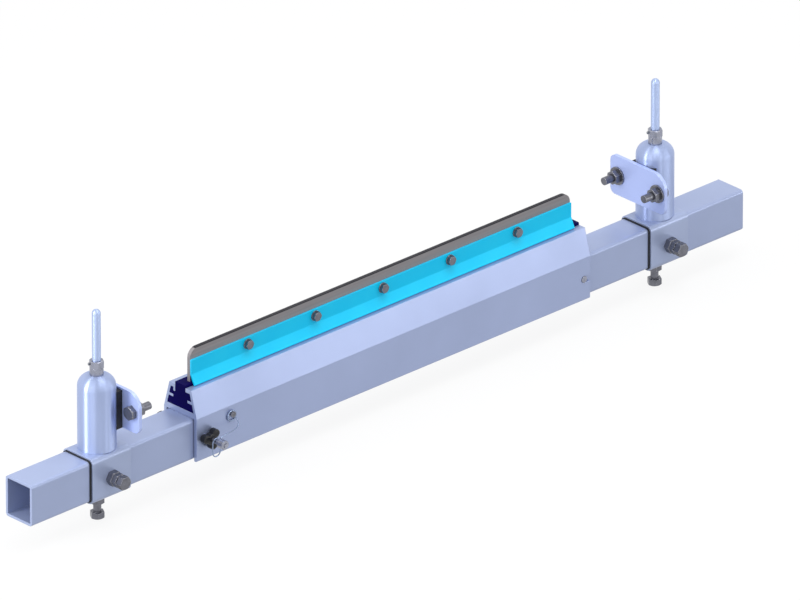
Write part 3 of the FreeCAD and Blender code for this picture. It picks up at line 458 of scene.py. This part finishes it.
back = Vector((sin(AZIMUTH) * cos(ELEVATION), -cos(AZIMUTH) * cos(ELEVATION), sin(ELEVATION)))
right = Vector((cos(AZIMUTH), sin(AZIMUTH), 0))
up = back.cross(right)
target = (right * (PICTURE_MIDDLE[0] - ORIGIN_PIXEL[0])
          - up * (PICTURE_MIDDLE[1] - ORIGIN_PIXEL[1])) / PIXELS_PER_METRE
camera_data = bpy.data.cameras.new("camera")
camera_data.sensor_width = 36
camera_data.lens = PIXELS_PER_METRE * DISTANCE * camera_data.sensor_width / PICTURE_WIDTH
camera_data.clip_end = 5 * DISTANCE
camera = bpy.data.objects.new("camera", camera_data)
bpy.context.scene.collection.objects.link(camera)
axes = Matrix((right, up, back)).transposed().to_4x4()
camera.matrix_world = Matrix.Translation(target + back * DISTANCE) @ axes
bpy.context.scene.camera = camera


# Floor: pale, under the lowest bolt heads. It shows close to white with a trace of the shadow,
# and throws little light up at the object.
FLOOR_HALF_WIDTH = 12
FLOOR_SEEN = 0.9
FLOOR_BOUNCE = 0.24
FLOOR_WHITE_SHARE = 0.88


def background_rays(tree, share):
    """A socket with the given share for the rays that show the background: seen, mirrored or
    refracted."""
    path = tree.nodes.new("ShaderNodeLightPath")
    flag = path.outputs["Is Camera Ray"]
    for other in ("Is Glossy Ray", "Is Transmission Ray"):
        either = tree.nodes.new("ShaderNodeMath")
        either.operation = "MAXIMUM"
        tree.links.new(flag, either.inputs[0])
        tree.links.new(path.outputs[other], either.inputs[1])
        flag = either.outputs[0]
    product = tree.nodes.new("ShaderNodeMath")
    product.operation = "MULTIPLY"
    tree.links.new(flag, product.inputs[0])
    product.inputs[1].default_value = share
    return product.outputs[0]


def blend_to_background(tree, lit, background, share, output):
    """Shows the background's shader to the rays that see it, and the lit one to all others."""
    mix = tree.nodes.new("ShaderNodeMixShader")
    tree.links.new(background_rays(tree, share), mix.inputs["Fac"])
    tree.links.new(lit.outputs[0], mix.inputs[1])
    tree.links.new(background.outputs[0], mix.inputs[2])
    tree.links.new(mix.outputs[0], output.inputs["Surface"])


def floor_material():
    """Matt and pale, and close to white for the rays that show the background."""
    material = bpy.data.materials.new("floor")
    material.use_nodes = True
    tree = material.node_tree
    tree.nodes.clear()
    output = tree.nodes.new("ShaderNodeOutputMaterial")
    matt = tree.nodes.new("ShaderNodeBsdfDiffuse")
    pale = tree.nodes.new("ShaderNodeMath")
    pale.operation = "MULTIPLY_ADD"
    tree.links.new(background_rays(tree, 1), pale.inputs[0])
    pale.inputs[1].default_value = FLOOR_SEEN - FLOOR_BOUNCE
    pale.inputs[2].default_value = FLOOR_BOUNCE
    tree.links.new(pale.outputs[0], matt.inputs["Color"])
    white = tree.nodes.new("ShaderNodeEmission")
    blend_to_background(tree, matt, white, FLOOR_WHITE_SHARE, output)
    return material


def floor(mesh):
    """One large square at the level of the lowest bolt heads."""
    level = cad_bounds[0][2]
    mesh.faces.new([mesh.verts.new((x * FLOOR_HALF_WIDTH, y * FLOOR_HALF_WIDTH, level))
                    for x, y in RECTANGLE])


piece("floor", floor, floor_material(), smooth=False)


# Light: surroundings that are pale above and dark below in the light they give, and white where they
# show, with soft lamps. The reflections of two strips run down the turned housings as bands.
LAMP_DISTANCE = 3.0
SKY_TINT = (0.98, 0.985, 1)
SKY_LEVELS = ((0.0, 0.1), (0.45, 0.12), (0.55, 0.25), (0.7, 0.7), (1.0, 1.1))


def surroundings():
    """The sky's levels run from straight down at 0 over the horizon at 0.5 to straight up at 1."""
    world = bpy.data.worlds.new("studio")
    bpy.context.scene.world = world
    world.use_nodes = True
    tree = world.node_tree
    tree.nodes.clear()
    output = tree.nodes.new("ShaderNodeOutputWorld")
    place = tree.nodes.new("ShaderNodeTexCoord")
    split = tree.nodes.new("ShaderNodeSeparateXYZ")
    tree.links.new(place.outputs["Generated"], split.inputs[0])
    height = tree.nodes.new("ShaderNodeMapRange")
    height.inputs["From Min"].default_value = -1
    height.inputs["From Max"].default_value = 1
    tree.links.new(split.outputs["Z"], height.inputs["Value"])
    ramp = tree.nodes.new("ShaderNodeValToRGB")
    tree.links.new(height.outputs["Result"], ramp.inputs["Fac"])
    stops = ramp.color_ramp.elements
    while len(stops) < len(SKY_LEVELS):
        stops.new(0.5)
    for stop, (position, level) in zip(stops, SKY_LEVELS):
        stop.position = position
        stop.color = (*(level * tint for tint in SKY_TINT), 1)
    lit = tree.nodes.new("ShaderNodeBackground")
    tree.links.new(ramp.outputs["Color"], lit.inputs["Color"])
    white = tree.nodes.new("ShaderNodeBackground")
    white.inputs["Color"].default_value = (1, 1, 1, 1)
    blend_to_background(tree, lit, white, 1, output)


def lamp(name, towards, size, strength):
    """A rectangular area lamp that faces the origin from one direction."""
    data = bpy.data.lights.new(name, "AREA")
    data.shape = "RECTANGLE"
    data.size, data.size_y = size
    data.energy = strength
    made = bpy.data.objects.new(name, data)
    direction = Vector(towards).normalized()
    made.location = direction * LAMP_DISTANCE
    made.rotation_euler = direction.to_track_quat("Z", "Y").to_euler()
    bpy.context.scene.collection.objects.link(made)


surroundings()
lamp("key", (0.62, -0.78, 0.12), (2.0, 0.6), 12)
lamp("top", (0.1, -0.2, 1.0), (2.0, 1.2), 27)
lamp("left strip", (-0.97, 0.24, 0.3), (0.6, 1.8), 40)
lamp("left fill", (-0.93, -0.3, 0.3), (1.6, 1.8), 15)
lamp("front strip", (0.04, -1.0, 0.25), (0.2, 1.6), 5)

scene = bpy.context.scene
scene.view_settings.view_transform = "Standard"
scene.view_settings.look = "None"
scene.render.film_transparent = False
